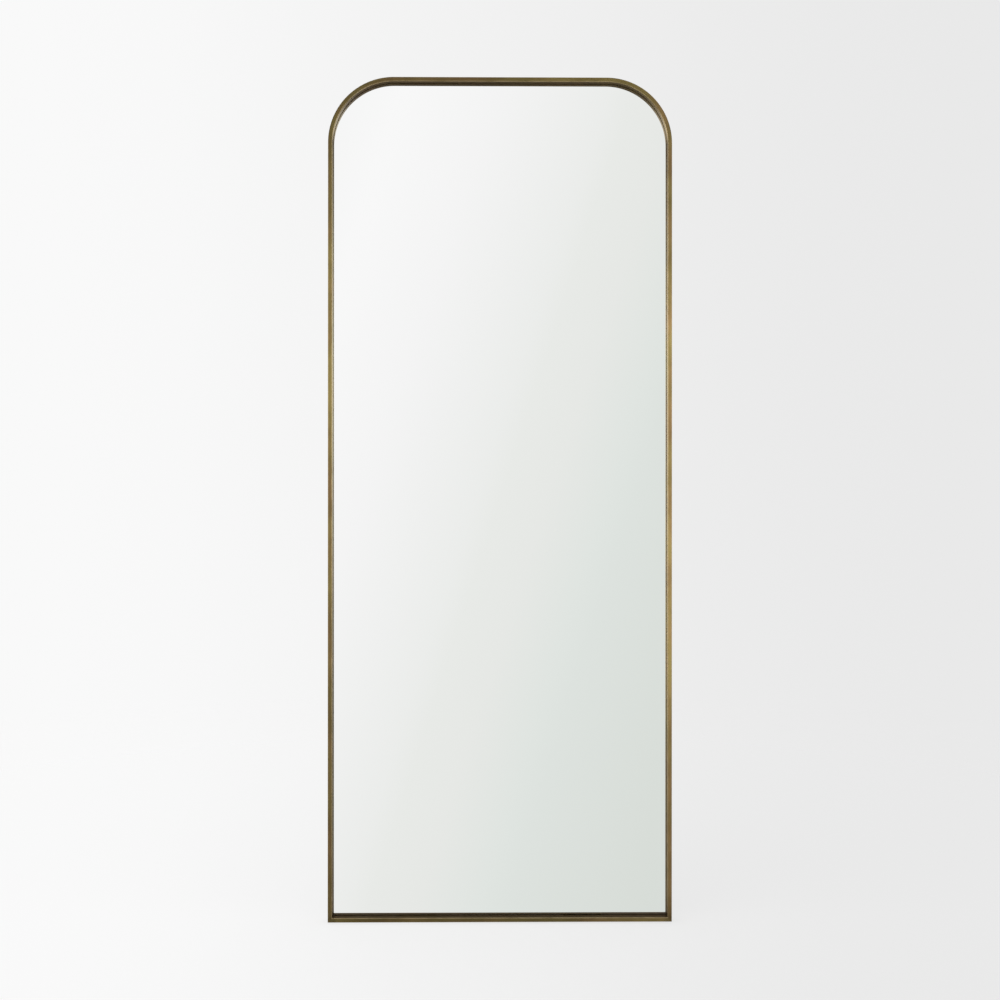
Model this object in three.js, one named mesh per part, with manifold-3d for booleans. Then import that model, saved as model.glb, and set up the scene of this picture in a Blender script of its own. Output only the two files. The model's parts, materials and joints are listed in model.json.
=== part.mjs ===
// A leaning floor mirror: a tall sheet of mirror glass, set back in a deep and slim frame of
// brass tube. One length of tube makes both stiles, the two round top corners and the top rail.
// A bottom rail closes it with mitred corners. The glass is taped to a board behind it, and the
// board is screwed to tabs inside the frame. Two hangers with swinging rings sit on the board.
// Millimetres, +Z up, the glass faces -Y, +X is the viewer's right, and z = 0 is the floor.

import * as THREE from "three";
import { mergeVertices } from "three/addons/utils/BufferGeometryUtils.js";
import Module from "manifold-3d";

// Frame
const FRAME_WIDTH = 745;
const FRAME_HEIGHT = 1829;
const BAR_FACE = 9.5; // the tube's narrow side, which faces the viewer
const TUBE_WALL = 1.5;
const TUBE_ARRIS = 1.2; // radius of the tube's long edges
const BEND_RADIUS = 142; // outside of the top corners

// Layers behind the frame's front, from front to back
const GLASS_RECESS = 20;
const GLASS_THICKNESS = 4;
const FILM_THICKNESS = 0.2;
const TAPE_THICKNESS = 0.8;
const BOARD_THICKNESS = 9;
const TAB_THICKNESS = 1.5;
const TAB_SETBACK = 1.3; // from the back of the tabs to the back of the frame

// Clearances
const SEAT_GAP = 0.3; // between two pieces that bear on each other
const EDGE_CLEARANCE = 0.5; // round the glass and the board
const PILOT_CLEARANCE = 0.2; // round a screw in the board
const HOLE_CLEARANCE = 0.4; // round a screw in a tab or a strap
const SWING_CLEARANCE = 0.3; // round a ring in its barrel

// Glass, film and tape
const GLASS_ARRIS = 0.5;
const FILM_MARGIN = 2;
const TAPE_WIDTH = 25;
const TAPE_COUNT = 4;
const TAPE_SIDE_MARGIN = 50;
const TAPE_END_MARGIN = 60;

// Setting blocks under the glass and the board
const BLOCK_THICKNESS = 1;
const BLOCK_LENGTH = 60;
const BLOCK_OFFSET = 190; // from the middle
const BLOCK_SETBACK = 2; // behind the front of the glass

// Tabs and their screws
const TAB_LENGTH = 22;
const TAB_REACH = 15;
const TAB_CORNER = 3;
const TAB_SCREW_REACH = 9;
const SIDE_TAB_COUNT = 4;
const SIDE_TAB_LOW = 110;
const SIDE_TAB_HIGH = 60; // below the start of the bends
const TOP_TAB_OFFSET = 110;
const BOTTOM_TAB_OFFSET = 150;

// Pan-head screws
const SCREW_RADIUS = 1.9;
const SCREW_TIP = 3;
const SCREW_HEAD_RADIUS = 3.6;
const SCREW_HEAD_HEIGHT = 2.4;
const SCREW_RIM = 0.9; // height of the head's edge, below its dome
const SCREW_BITE = 6.5; // length held by the board
const PILOT_SPARE = 0.5; // pilot hole past the tip
const RECESS_SPAN = 4;
const RECESS_SLOT = 0.9;
const RECESS_DEPTH = 1.3;

// Hangers
const HANGER_DROP = 380; // from the frame's top to the ring's axis
const HANGER_INSET = 75; // from the frame's side to the strap's middle
const STRAP_THICKNESS = 1.5;
const STRAP_WIDTH = 16;
const STRAP_SCREW_START = 33; // from the ring's axis to the first screw
const STRAP_SCREW_PITCH = 17;
const STRAP_SCREW_COUNT = 2;
const STRAP_END_MARGIN = 8; // past the last screw
const STRAP_CORNER = 5;

// Rings
const RING_WIRE = 3.5;
const RING_EYE = 20; // inside width
const RING_DROP = 24; // from the axis to the middle of the bow's wire
const RING_CORNER = 4;
const RING_SEAM = 0.3; // where the bent wire's ends meet, inside the barrel

// Bumpers
const BUMPER_RADIUS = 11;
const BUMPER_TIP_RADIUS = 9;
const BUMPER_ROUND = 1.5;
const BUMPER_PROUD = 6; // behind the back of the frame
const BUMPER_INSET = 28; // from the frame's outside to the bumper's middle

// Foot pads
const PAD_THICKNESS = 2;
const PAD_LENGTH = 70;
const PAD_DEPTH = 28;
const PAD_SETBACK = 9; // behind the frame's front
const PAD_INSET = 30; // from the frame's side
const PAD_CORNER = 4;

// Fineness of round shapes
const BEND_STEPS = 16;
const ARRIS_STEPS = 2;
const CORNER_STEPS = 4;
const HOLE_SIDES = 12;
const BARREL_STEPS = 16;
const BUMPER_SIDES = 20;
const RING_STEPS = 40;
const WIRE_SIDES = 8;

// Depths behind the frame's front
const GLASS_BACK = GLASS_RECESS + GLASS_THICKNESS;
const FILM_FRONT = GLASS_BACK + SEAT_GAP;
const TAPE_FRONT = FILM_FRONT + FILM_THICKNESS + SEAT_GAP;
const BOARD_FRONT = TAPE_FRONT + TAPE_THICKNESS + SEAT_GAP;
const BOARD_BACK = BOARD_FRONT + BOARD_THICKNESS;
const TAB_FRONT = BOARD_BACK + SEAT_GAP;
const TAB_BACK = TAB_FRONT + TAB_THICKNESS;
const FRAME_DEPTH = TAB_BACK + TAB_SETBACK;
const TOTAL_DEPTH = FRAME_DEPTH + BUMPER_PROUD;

// Heights and widths inside the frame
const GLASS_EDGE = BAR_FACE + EDGE_CLEARANCE;
const GLASS_BASE = BAR_FACE + SEAT_GAP + BLOCK_THICKNESS + SEAT_GAP;
const OPENING_HALF = FRAME_WIDTH / 2 - BAR_FACE;
const BEND_START = FRAME_HEIGHT - BEND_RADIUS;

// Ring and barrel
const BARREL_BORE = RING_WIRE / 2 + SWING_CLEARANCE;
const BARREL_RADIUS = BARREL_BORE + STRAP_THICKNESS;

const wasm = await Module();
wasm.setup();

// Materials

function finish(color, roughness, metalness) {
  return new THREE.MeshStandardMaterial({ color, roughness, metalness });
}

const agedBrass = finish(0x87734a, 0.38, 1);
const silveredGlass = finish(0xe4eae6, 0.02, 1);
const greyFilm = finish(0x8b9094, 0.6, 0);
const whiteTape = finish(0xe8e6df, 0.8, 0);
const blackBoard = finish(0x1d1c1b, 0.75, 0);
const blackRubber = finish(0x17171a, 0.85, 0);
const brassTab = finish(0x7a6845, 0.45, 1);
const zinc = finish(0xb9bcbd, 0.35, 1);
const blackScrew = finish(0x26262a, 0.4, 1);

// Solids

function solidOf(geometry) {
  const plain = geometry.index ? geometry.toNonIndexed() : geometry.clone();
  plain.deleteAttribute("normal");
  plain.deleteAttribute("uv");
  const merged = mergeVertices(plain);
  return new wasm.Manifold(
    new wasm.Mesh({
      numProp: 3,
      vertProperties: merged.attributes.position.array,
      triVerts: new Uint32Array(merged.index.array),
    }),
  );
}

function geometryOf(solid) {
  const mesh = solid.getMesh();
  const geometry = new THREE.BufferGeometry();
  geometry.setAttribute("position", new THREE.BufferAttribute(mesh.vertProperties, mesh.numProp));
  geometry.setIndex(new THREE.BufferAttribute(mesh.triVerts, 1));
  geometry.computeVertexNormals();
  return geometry;
}

function piece(name, geometry, material) {
  const mesh = new THREE.Mesh(geometry, material);
  mesh.name = name;
  return mesh;
}

// A sheet with the given outline, each of whose arcs has arcSteps steps. Its front is at z = 0
// and its back at -thickness. Its edges are rounded to the radius arris.
function sheet(outline, thickness, arcSteps, arris = 0, arrisSteps = 1) {
  const geometry = new THREE.ExtrudeGeometry(outline, {
    depth: thickness - 2 * arris,
    bevelEnabled: arris > 0,
    bevelThickness: arris,
    bevelSize: arris,
    bevelOffset: -arris,
    bevelSegments: arrisSteps,
    curveSegments: arcSteps / 2,
  });
  geometry.translate(0, 0, arris - thickness);
  return geometry;
}

// Drills round holes along z at the given points, from z = top down to z = bottom.
function drill(solid, radius, points, top, bottom) {
  return points.reduce((drilled, { x, y }) => {
    const bit = new THREE.CylinderGeometry(radius, radius, top - bottom, HOLE_SIDES);
    bit.rotateX(Math.PI / 2);
    bit.translate(x, y, (top + bottom) / 2);
    return drilled.subtract(solidOf(bit));
  }, solid);
}

// A strip up the y axis, square at its base and with round corners at its tip.
function tongueOutline(width, base, tip, corner) {
  const half = width / 2;
  const shape = new THREE.Shape();
  shape.moveTo(-half, base);
  shape.lineTo(half, base);
  shape.absarc(half - corner, tip - corner, corner, 0, Math.PI / 2);
  shape.absarc(corner - half, tip - corner, corner, Math.PI / 2, Math.PI);
  return shape;
}

// Frame

// The frame's outline brought in by inset, square at the bottom and round at the top.
function archOutline(inset, base) {
  const half = FRAME_WIDTH / 2 - inset;
  const radius = BEND_RADIUS - inset;
  const shape = new THREE.Shape();
  shape.moveTo(-half, base);
  shape.lineTo(half, base);
  shape.absarc(half - radius, BEND_START, radius, 0, Math.PI / 2);
  shape.absarc(radius - half, BEND_START, radius, Math.PI / 2, Math.PI);
  return shape;
}

// The band between two such outlines, with legs that run past the frame's bottom edge.
function hoopOutline(outerInset, innerInset) {
  const outerHalf = FRAME_WIDTH / 2 - outerInset;
  const innerHalf = FRAME_WIDTH / 2 - innerInset;
  const outerRadius = BEND_RADIUS - outerInset;
  const innerRadius = BEND_RADIUS - innerInset;
  const centre = FRAME_WIDTH / 2 - BEND_RADIUS;
  const shape = new THREE.Shape();
  shape.moveTo(outerHalf, -BAR_FACE);
  shape.absarc(centre, BEND_START, outerRadius, 0, Math.PI / 2);
  shape.absarc(-centre, BEND_START, outerRadius, Math.PI / 2, Math.PI);
  shape.lineTo(-outerHalf, -BAR_FACE);
  shape.lineTo(-innerHalf, -BAR_FACE);
  shape.absarc(-centre, BEND_START, innerRadius, Math.PI, Math.PI / 2, true);
  shape.absarc(centre, BEND_START, innerRadius, Math.PI / 2, 0, true);
  shape.lineTo(innerHalf, -BAR_FACE);
  return shape;
}

// A bar from below the frame's left corner to past its right one.
function railOutline(inset) {
  const half = FRAME_WIDTH / 2 + BAR_FACE;
  const shape = new THREE.Shape();
  shape.moveTo(-half, inset);
  shape.lineTo(half, inset);
  shape.lineTo(half, BAR_FACE - inset);
  shape.lineTo(-half, BAR_FACE - inset);
  return shape;
}

// The space under both mitres, whose planes rise inwards from the frame's bottom corners.
function mitreBlock(lift) {
  const half = FRAME_WIDTH / 2;
  const past = 2 * BAR_FACE;
  const shape = new THREE.Shape();
  shape.moveTo(-half - past, lift - past);
  shape.lineTo(half + past, lift - past);
  shape.lineTo(half - past, lift + past);
  shape.lineTo(past - half, lift + past);
  const block = sheet(shape, FRAME_DEPTH + 2 * BAR_FACE, 2);
  block.translate(0, 0, BAR_FACE);
  return solidOf(block);
}

// A tube with the given outlines of its outside and its bore.
function tube(outside, bore) {
  const skin = sheet(outside, FRAME_DEPTH, BEND_STEPS, TUBE_ARRIS, ARRIS_STEPS);
  const hollow = sheet(bore, FRAME_DEPTH - 2 * TUBE_WALL, BEND_STEPS);
  hollow.translate(0, 0, -TUBE_WALL);
  return solidOf(skin).subtract(solidOf(hollow));
}

const mitreLift = SEAT_GAP / Math.SQRT2;

function frameHoop() {
  const bar = tube(hoopOutline(0, BAR_FACE), hoopOutline(TUBE_WALL, BAR_FACE - TUBE_WALL));
  return piece("frame_hoop", geometryOf(bar.subtract(mitreBlock(mitreLift))), agedBrass);
}

function bottomRail() {
  const bar = tube(railOutline(0), railOutline(TUBE_WALL));
  return piece("bottom_rail", geometryOf(bar.intersect(mitreBlock(-mitreLift))), agedBrass);
}

// Glass, film, tape and board

function mirrorGlass() {
  const outline = archOutline(GLASS_EDGE, GLASS_BASE);
  const pane = sheet(outline, GLASS_THICKNESS, BEND_STEPS, GLASS_ARRIS);
  const mesh = piece("mirror_glass", pane, silveredGlass);
  mesh.position.z = -GLASS_RECESS;
  return mesh;
}

function safetyFilm() {
  const outline = archOutline(GLASS_EDGE + FILM_MARGIN, GLASS_BASE + FILM_MARGIN);
  const mesh = piece("safety_film", sheet(outline, FILM_THICKNESS, BEND_STEPS), greyFilm);
  mesh.position.z = -FILM_FRONT;
  return mesh;
}

function mountingTapes() {
  const base = GLASS_BASE + TAPE_END_MARGIN;
  const height = BEND_START - TAPE_END_MARGIN - base;
  const first = TAPE_SIDE_MARGIN + TAPE_WIDTH / 2 - OPENING_HALF;
  const strip = new THREE.BoxGeometry(TAPE_WIDTH, height, TAPE_THICKNESS);
  return Array.from({ length: TAPE_COUNT }, (_, i) => {
    const mesh = piece("mounting_tape_" + (i + 1), strip, whiteTape);
    mesh.position.x = THREE.MathUtils.lerp(first, -first, i / (TAPE_COUNT - 1));
    mesh.position.y = base + height / 2;
    mesh.position.z = -TAPE_FRONT - TAPE_THICKNESS / 2;
    return mesh;
  });
}

// Both blocks lie on the bottom rail, from behind the glass's face to the board's back.
function settingBlocks() {
  const front = GLASS_RECESS + BLOCK_SETBACK;
  const depth = BOARD_BACK - front;
  const block = new THREE.BoxGeometry(BLOCK_LENGTH, BLOCK_THICKNESS, depth);
  return SIDES.map(({ side, label }) => {
    const mesh = piece("setting_block_" + label, block, blackRubber);
    mesh.position.x = side * BLOCK_OFFSET;
    mesh.position.y = BAR_FACE + SEAT_GAP + BLOCK_THICKNESS / 2;
    mesh.position.z = -front - depth / 2;
    return mesh;
  });
}

// The board's pilot holes are under the tabs' and the hangers' screws.
function backingBoard() {
  const panel = solidOf(sheet(archOutline(GLASS_EDGE, GLASS_BASE), BOARD_THICKNESS, BEND_STEPS));
  const pilotRadius = SCREW_RADIUS + PILOT_CLEARANCE;
  const pilotEnd = SCREW_BITE + PILOT_SPARE - BOARD_THICKNESS;
  const points = [...tabScrewPoints(), ...strapScrewPoints()];
  const drilled = drill(panel, pilotRadius, points, pilotEnd, -2 * BOARD_THICKNESS);
  const mesh = piece("backing_board", geometryOf(drilled), blackBoard);
  mesh.position.z = -BOARD_FRONT;
  return mesh;
}

// Screws

// A pan-head screw along y: its head sits on y = 0 and its shank runs down from there.
function screw(shank) {
  const profile = [
    [0, -shank],
    [SCREW_RADIUS, SCREW_TIP - shank],
    [SCREW_RADIUS, 0],
    [SCREW_HEAD_RADIUS, 0],
    [SCREW_HEAD_RADIUS, SCREW_RIM],
    [SCREW_HEAD_RADIUS * Math.cos(Math.PI / 4), SCREW_HEAD_HEIGHT - SCREW_RIM / 3],
    [0, SCREW_HEAD_HEIGHT],
  ].map(([radius, y]) => new THREE.Vector2(radius, y));
  const body = solidOf(new THREE.LatheGeometry(profile, HOLE_SIDES));
  const across = new THREE.BoxGeometry(RECESS_SPAN, 2 * RECESS_DEPTH, RECESS_SLOT);
  const along = new THREE.BoxGeometry(RECESS_SLOT, 2 * RECESS_DEPTH, RECESS_SPAN);
  across.translate(0, SCREW_HEAD_HEIGHT, 0);
  along.translate(0, SCREW_HEAD_HEIGHT, 0);
  return geometryOf(body.subtract(solidOf(across)).subtract(solidOf(along)));
}

// A screw whose head bears on a piece with its back at the given depth.
function placedScrew(name, geometry, material, x, y, bearing) {
  const mesh = piece(name, geometry, material);
  mesh.rotation.x = -Math.PI / 2;
  mesh.position.set(x, y, -bearing - SEAT_GAP);
  return mesh;
}

// Tabs

const SIDES = [
  { side: -1, label: "left" },
  { side: 1, label: "right" },
];

// Each tab's place on the frame's inside, with the turn that points it inwards.
function tabSeats() {
  const seats = [];
  SIDES.forEach(({ side, label }) => {
    for (let i = 0; i < SIDE_TAB_COUNT; i++) {
      const share = i / (SIDE_TAB_COUNT - 1);
      const y = THREE.MathUtils.lerp(SIDE_TAB_LOW, BEND_START - SIDE_TAB_HIGH, share);
      seats.push({ label: label + "_" + (i + 1), x: side * OPENING_HALF, y, turn: (side * Math.PI) / 2 });
    }
    const topEdge = FRAME_HEIGHT - BAR_FACE;
    seats.push({ label: "top_" + label, x: side * TOP_TAB_OFFSET, y: topEdge, turn: Math.PI });
    seats.push({ label: "bottom_" + label, x: side * BOTTOM_TAB_OFFSET, y: BAR_FACE, turn: 0 });
  });
  return seats;
}

function tabScrewPoints() {
  return tabSeats().map(({ label, x, y, turn }) => ({
    label,
    x: x - TAB_SCREW_REACH * Math.sin(turn),
    y: y + TAB_SCREW_REACH * Math.cos(turn),
  }));
}

function tabs() {
  const outline = tongueOutline(TAB_LENGTH, SEAT_GAP, TAB_REACH, TAB_CORNER);
  const blank = solidOf(sheet(outline, TAB_THICKNESS, CORNER_STEPS));
  const hole = [{ x: 0, y: TAB_SCREW_REACH }];
  const drilled = drill(blank, SCREW_RADIUS + HOLE_CLEARANCE, hole, TAB_THICKNESS, -2 * TAB_THICKNESS);
  const plate = geometryOf(drilled);
  return tabSeats().map(({ label, x, y, turn }) => {
    const mesh = piece("tab_" + label, plate, brassTab);
    mesh.rotation.z = turn;
    mesh.position.set(x, y, -TAB_FRONT);
    return mesh;
  });
}

function tabScrews() {
  const geometry = screw(SCREW_BITE + SEAT_GAP + TAB_THICKNESS + SEAT_GAP);
  return tabScrewPoints().map(({ label, x, y }) =>
    placedScrew("tab_screw_" + label, geometry, blackScrew, x, y, TAB_BACK),
  );
}

// Hangers

function hangerPlace(side) {
  return { x: side * (FRAME_WIDTH / 2 - HANGER_INSET), y: FRAME_HEIGHT - HANGER_DROP };
}

function strapScrewDrops() {
  return Array.from({ length: STRAP_SCREW_COUNT }, (_, i) => STRAP_SCREW_START + i * STRAP_SCREW_PITCH);
}

function strapScrewPoints() {
  return SIDES.flatMap(({ side, label }) =>
    strapScrewDrops().map((drop, i) => ({
      label: label + "_" + (i + 1),
      x: hangerPlace(side).x,
      y: hangerPlace(side).y - drop,
    })),
  );
}

// The strap seen from the side, with the board at x = 0 and the ring's axis at y = 0: it runs
// up the board and rolls over into the barrel, whose end stops short of the strap.
function strapOutline(length) {
  const lipEnd = Math.acos((STRAP_THICKNESS + SEAT_GAP - BARREL_RADIUS) / BARREL_RADIUS);
  const shape = new THREE.Shape();
  shape.moveTo(STRAP_THICKNESS, -length);
  shape.lineTo(0, -length);
  shape.absarc(BARREL_RADIUS, 0, BARREL_RADIUS, Math.PI, -lipEnd, true);
  shape.absarc(BARREL_RADIUS, 0, BARREL_BORE, -lipEnd, Math.PI, false);
  return shape;
}

function hangerStrap() {
  const length = Math.max(...strapScrewDrops()) + STRAP_END_MARGIN;
  const rolled = new THREE.ExtrudeGeometry(strapOutline(length), {
    depth: STRAP_WIDTH,
    bevelEnabled: false,
    curveSegments: BARREL_STEPS / 2,
  });
  rolled.translate(0, 0, -STRAP_WIDTH / 2);
  rolled.rotateY(Math.PI / 2);
  const clear = 2 * BARREL_RADIUS;
  const trim = sheet(tongueOutline(STRAP_WIDTH, -clear, length, STRAP_CORNER), 2 * clear, CORNER_STEPS);
  trim.rotateX(Math.PI);
  trim.translate(0, 0, -clear);
  const blank = solidOf(rolled).intersect(solidOf(trim));
  const holes = strapScrewDrops().map((drop) => ({ x: 0, y: -drop }));
  return geometryOf(drill(blank, SCREW_RADIUS + HOLE_CLEARANCE, holes, clear, -clear));
}

// The bent wire of a ring, from one side of its seam round the bow to the other.
function ringRoute() {
  const half = (RING_EYE + RING_WIRE) / 2;
  const seam = RING_SEAM / 2;
  const bend = new THREE.Path();
  bend.moveTo(seam, 0);
  bend.lineTo(half - RING_CORNER, 0);
  bend.absarc(half - RING_CORNER, -RING_CORNER, RING_CORNER, Math.PI / 2, 0, true);
  bend.lineTo(half, half - RING_DROP);
  bend.absarc(0, half - RING_DROP, half, 0, -Math.PI, true);
  bend.lineTo(-half, -RING_CORNER);
  bend.absarc(RING_CORNER - half, -RING_CORNER, RING_CORNER, Math.PI, Math.PI / 2, true);
  bend.lineTo(-seam, 0);
  const points = bend.getSpacedPoints(2 * RING_STEPS);
  return new THREE.CatmullRomCurve3(points.map(({ x, y }) => new THREE.Vector3(x, y, 0)));
}

function hangerRing() {
  const section = new THREE.Shape();
  section.absarc(0, 0, RING_WIRE / 2, 0, 2 * Math.PI);
  return new THREE.ExtrudeGeometry(section, {
    steps: RING_STEPS,
    extrudePath: ringRoute(),
    curveSegments: WIRE_SIDES / 2,
  });
}

// Each hanger's strap lies on the board, below the ring's axis, and the ring hangs over it.
function hangers() {
  const strap = hangerStrap();
  const ring = hangerRing();
  return SIDES.map(({ side, label }) => {
    const hanger = new THREE.Group();
    const swinging = piece("hanger_ring_" + label, ring, zinc);
    swinging.position.z = -BARREL_RADIUS;
    hanger.add(piece("hanger_strap_" + label, strap, zinc), swinging);
    hanger.position.set(hangerPlace(side).x, hangerPlace(side).y, -BOARD_BACK - SEAT_GAP);
    return hanger;
  });
}

function strapScrews() {
  const geometry = screw(SCREW_BITE + SEAT_GAP + STRAP_THICKNESS + SEAT_GAP);
  const bearing = BOARD_BACK + SEAT_GAP + STRAP_THICKNESS;
  return strapScrewPoints().map(({ label, x, y }) =>
    placedScrew("strap_screw_" + label, geometry, zinc, x, y, bearing),
  );
}

// Bumpers and foot pads

// Upper bumpers sit under the top rail, where a leaning mirror meets the wall, and lower ones
// in the bottom corners.
function bumpers() {
  const height = TOTAL_DEPTH - BOARD_BACK - SEAT_GAP;
  const profile = new THREE.Path();
  profile.moveTo(0, 0);
  profile.lineTo(BUMPER_RADIUS, 0);
  profile.lineTo(BUMPER_TIP_RADIUS, height - BUMPER_ROUND);
  profile.absarc(BUMPER_TIP_RADIUS - BUMPER_ROUND, height - BUMPER_ROUND, BUMPER_ROUND, 0, Math.PI / 2);
  profile.lineTo(0, height);
  const geometry = new THREE.LatheGeometry(profile.getPoints(ARRIS_STEPS), BUMPER_SIDES);
  return SIDES.flatMap(({ side, label }) =>
    [
      { row: "upper", x: FRAME_WIDTH / 2 - BEND_RADIUS, y: FRAME_HEIGHT - BUMPER_INSET },
      { row: "lower", x: FRAME_WIDTH / 2 - BUMPER_INSET, y: BUMPER_INSET },
    ].map(({ row, x, y }) => {
      const mesh = piece("bumper_" + row + "_" + label, geometry, blackRubber);
      mesh.rotation.x = -Math.PI / 2;
      mesh.position.set(side * x, y, -BOARD_BACK - SEAT_GAP);
      return mesh;
    }),
  );
}

// A rectangle with round corners, centred on x, that stands on y = base.
function roundedRectangle(width, base, height, corner) {
  const half = width / 2;
  const shape = new THREE.Shape();
  shape.absarc(half - corner, base + corner, corner, -Math.PI / 2, 0);
  shape.absarc(half - corner, base + height - corner, corner, 0, Math.PI / 2);
  shape.absarc(corner - half, base + height - corner, corner, Math.PI / 2, Math.PI);
  shape.absarc(corner - half, base + corner, corner, Math.PI, Math.PI * 1.5);
  return shape;
}

function footPads() {
  const outline = roundedRectangle(PAD_LENGTH, PAD_SETBACK, PAD_DEPTH, PAD_CORNER);
  const pad = sheet(outline, PAD_THICKNESS, CORNER_STEPS);
  const middle = FRAME_WIDTH / 2 - PAD_INSET - PAD_LENGTH / 2;
  return SIDES.map(({ side, label }) => {
    const mesh = piece("foot_pad_" + label, pad, blackRubber);
    mesh.rotation.x = -Math.PI / 2;
    mesh.position.set(side * middle, -SEAT_GAP, 0);
    return mesh;
  });
}

// Assembly. The upright group is drawn as seen from the front: x to the right, y up from the
// frame's bottom edge, and z towards the viewer from the frame's front.
function assembly() {
  const upright = new THREE.Group();
  upright.add(frameHoop(), bottomRail());
  upright.add(mirrorGlass(), safetyFilm(), ...mountingTapes(), ...settingBlocks(), backingBoard());
  upright.add(...tabs(), ...tabScrews());
  upright.add(...hangers(), ...strapScrews());
  upright.add(...bumpers(), ...footPads());
  upright.rotation.x = Math.PI / 2;
  upright.position.set(0, -TOTAL_DEPTH / 2, PAD_THICKNESS + SEAT_GAP);
  const mirror = new THREE.Group();
  mirror.add(upright);
  return mirror;
}

export default assembly();
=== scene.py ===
"""Looks of a leaning floor mirror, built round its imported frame.

Metres, +Z up. The glass faces -Y, +X is the viewer's right, and the floor is z = 0.
"""

import json
import math

import bpy
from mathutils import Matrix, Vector, noise
from mathutils.geometry import tessellate_polygon


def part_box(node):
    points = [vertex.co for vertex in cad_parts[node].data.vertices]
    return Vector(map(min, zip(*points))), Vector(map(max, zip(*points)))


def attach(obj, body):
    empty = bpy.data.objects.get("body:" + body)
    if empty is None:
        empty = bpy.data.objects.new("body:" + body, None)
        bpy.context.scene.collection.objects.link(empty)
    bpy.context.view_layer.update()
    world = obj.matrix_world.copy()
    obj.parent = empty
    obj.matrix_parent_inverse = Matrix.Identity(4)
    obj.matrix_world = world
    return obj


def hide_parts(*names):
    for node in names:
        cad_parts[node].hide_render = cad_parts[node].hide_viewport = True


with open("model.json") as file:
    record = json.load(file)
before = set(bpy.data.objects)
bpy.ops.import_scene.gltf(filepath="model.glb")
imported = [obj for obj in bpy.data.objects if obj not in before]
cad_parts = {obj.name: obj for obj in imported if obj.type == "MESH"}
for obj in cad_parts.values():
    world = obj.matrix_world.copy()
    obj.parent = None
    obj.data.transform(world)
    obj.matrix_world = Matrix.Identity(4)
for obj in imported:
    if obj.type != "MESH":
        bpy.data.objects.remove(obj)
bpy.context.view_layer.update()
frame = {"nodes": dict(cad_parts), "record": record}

# Places and sizes read from the frame
hoop_low, hoop_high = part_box("frame_hoop")
rail_low, rail_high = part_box("bottom_rail")

HALF_WIDTH = hoop_high.x
TOP = hoop_high.z
BASE = rail_low.z
FRONT = hoop_low.y
BACK = hoop_high.y
BAR_FACE = rail_high.z - rail_low.z

TO_BACK = Vector((0, 1, 0))

# The frame's tube
BEND_RADIUS = 0.142  # of the outer side
TUBE_ARRIS = 0.0012
PAST_MITRE = 0.002  # from a mitre's inner end to the first square section
WELD_REACH = 0.02  # along the tube, from a bottom corner to where the brass is clean again
WELD_STAIN = 0.9 * WELD_REACH  # sections nearer to the corner than this have all of the weld's stain

# Rounding of edges
GLASS_ARRIS = 0.0005
BOARD_ARRIS = 0.0008
SHEET_ARRIS = 0.00025
PAD_ARRIS = 0.0004

# Tabs, hangers and pads
TAB_CORNER = 0.003
TAB_WELD_RADIUS = 0.0011
TAB_WELD_INSET = 0.001  # from the sides of a tab to the ends of its weld
STRAP_THICKNESS = 0.0015
STRAP_CORNER = 0.005
RING_CORNER = 0.004
SEAM_GAP = 0.0003  # between a ring's ends, and between a strap and the lip of its barrel
PAD_CORNER = 0.004

# Screws
SCREW_HOLE_RADIUS = 0.0023
SHANK_RADIUS = 0.0019
SHANK_LENGTH = 0.006
HEAD_RADIUS = 0.0036
HEAD_HEIGHT = 0.0024
HEAD_CHAMFER = 0.0002
HEAD_RIM = 0.0009  # from under the head up to where its dome begins
RECESS_SPAN = 0.004
RECESS_SLOT = 0.0009
RECESS_DEPTH = 0.0013
RECESS_TAPER = 0.8  # size of the recess's floor as a share of its mouth
TAB_SCREW_TURN = 2.4  # radians from one recess to the next
STRAP_SCREW_TURN = 1.7
LEFT_STRAP_TURN = 1.0  # further, on the left strap

# Bumpers
BUMPER_CHAMFER = 0.0004
BUMPER_RIM = 0.001  # from the base up to where the side begins to taper
BUMPER_TAPER = 0.002  # from the base's radius to the tip's
BUMPER_ROUND = 0.0015  # of the tip's edge

# The hollow in a bumper's tip: distance from the axis, and depth
BUMPER_HOLLOW = ((0.0058, 0.0), (0.005, 0.0003), (0.0038, 0.0012), (0.0, 0.0012))

# Edges between faces that turn more than this are shaded as sharp
SHARP_ANGLE = math.radians(40)

# How far the outer edges are rubbed, beside the inner ones, which a cloth reaches; the paler rubbed edges
# are partly a painted highlight
OUTER_EDGE_SHEEN = 0.2

# Places where the patina stands out: distance along the tube, reach, how much paler and how much ruddier
HOOP_PATINA = (
    (0.08, 0.14, 0.35, 0.6),  # left foot
    (0.95, 0.25, -0.14, -0.1),  # middle of the left stile
    (1.3, 0.2, 0.1, -0.7),  # its upper part
    (1.67, 0.06, -0.2, 0.5),  # start of the left bend
    (1.8, 0.09, -0.15, -0.3),  # left bend
    (2.08, 0.12, 0.45, 0.1),  # left half of the top
    (2.46, 0.12, 0.5, -0.5),  # right bend
    (2.62, 0.05, 0.1, 0.7),  # end of the right bend
    (3.0, 0.12, 0.4, -0.2),  # upper part of the right stile
    (3.22, 0.06, -0.15, 0.9),  # a coppery patch at its middle
    (3.75, 0.42, 0.72, -0.1),  # its lower part
    (4.2, 0.16, 0.3, 0.8),  # right foot
)
RAIL_PATINA = (
    (0.06, 0.08, 0.35, 0.4),  # right corner
    (0.3, 0.12, -0.3, -0.6),  # right half
    (0.63, 0.1, -0.2, -0.6),  # left half
)

# What silvered glass gives back of red, green and blue
SILVER_TINT = (0.92, 0.945, 0.925)

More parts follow.
